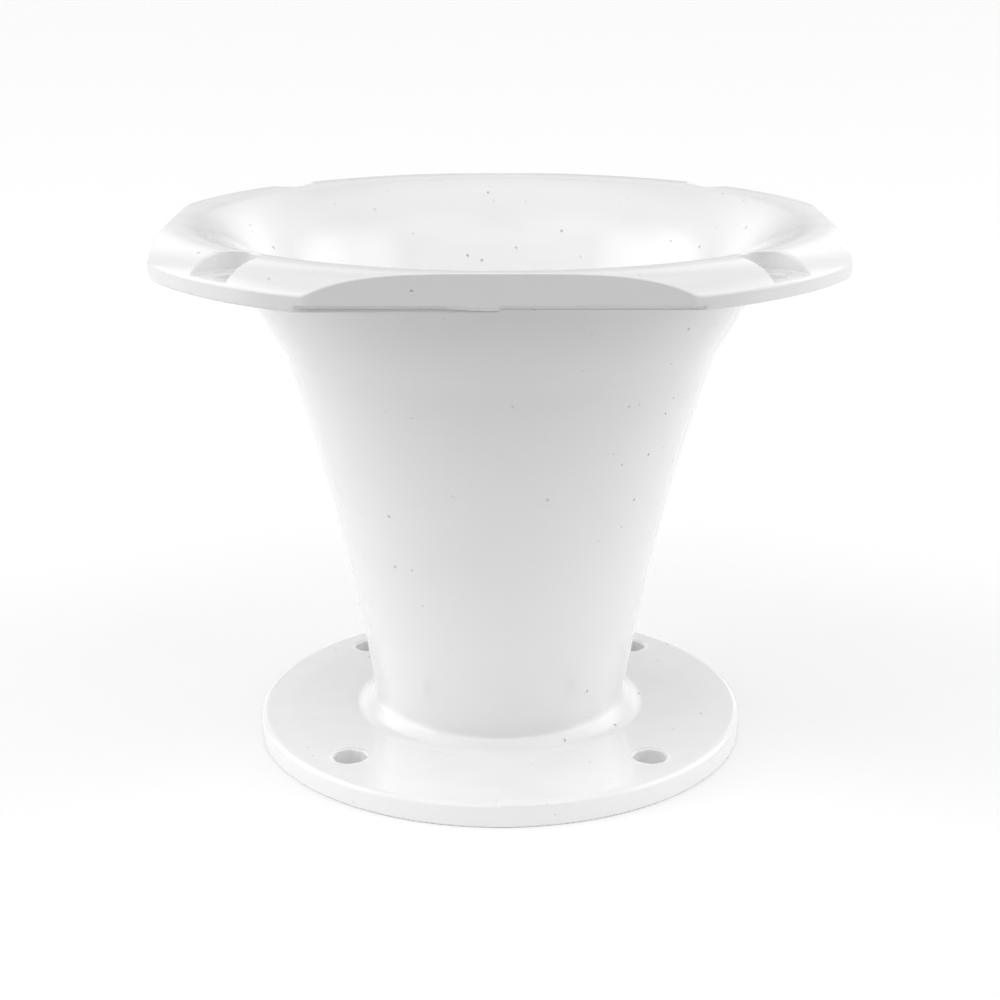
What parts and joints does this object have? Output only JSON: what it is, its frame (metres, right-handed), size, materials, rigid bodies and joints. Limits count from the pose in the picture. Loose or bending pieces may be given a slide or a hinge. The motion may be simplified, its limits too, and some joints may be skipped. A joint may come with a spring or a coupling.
{
  "type": "horn flare",
  "caption": "Round cast horn flare with a flanged throat for a compression driver and a thick mouth rim with flats and recessed screw seats.",
  "frame": {"origin": "centre of the throat flange's underside, which is the face that the driver bolts to", "axes": "+Z along the horn's axis, out of the mouth; +X and +Y each square to a flat of the mouth rim"},
  "size_m": [0.1548, 0.1548, 0.1306],
  "materials": {
    "white_paint": "gloss",
    "gasket_rubber": "matte"
  },
  "bodies": {
    "root": {"horn_casting": "white_paint", "throat_gasket": "gasket_rubber"}
  },
  "joints": []
}
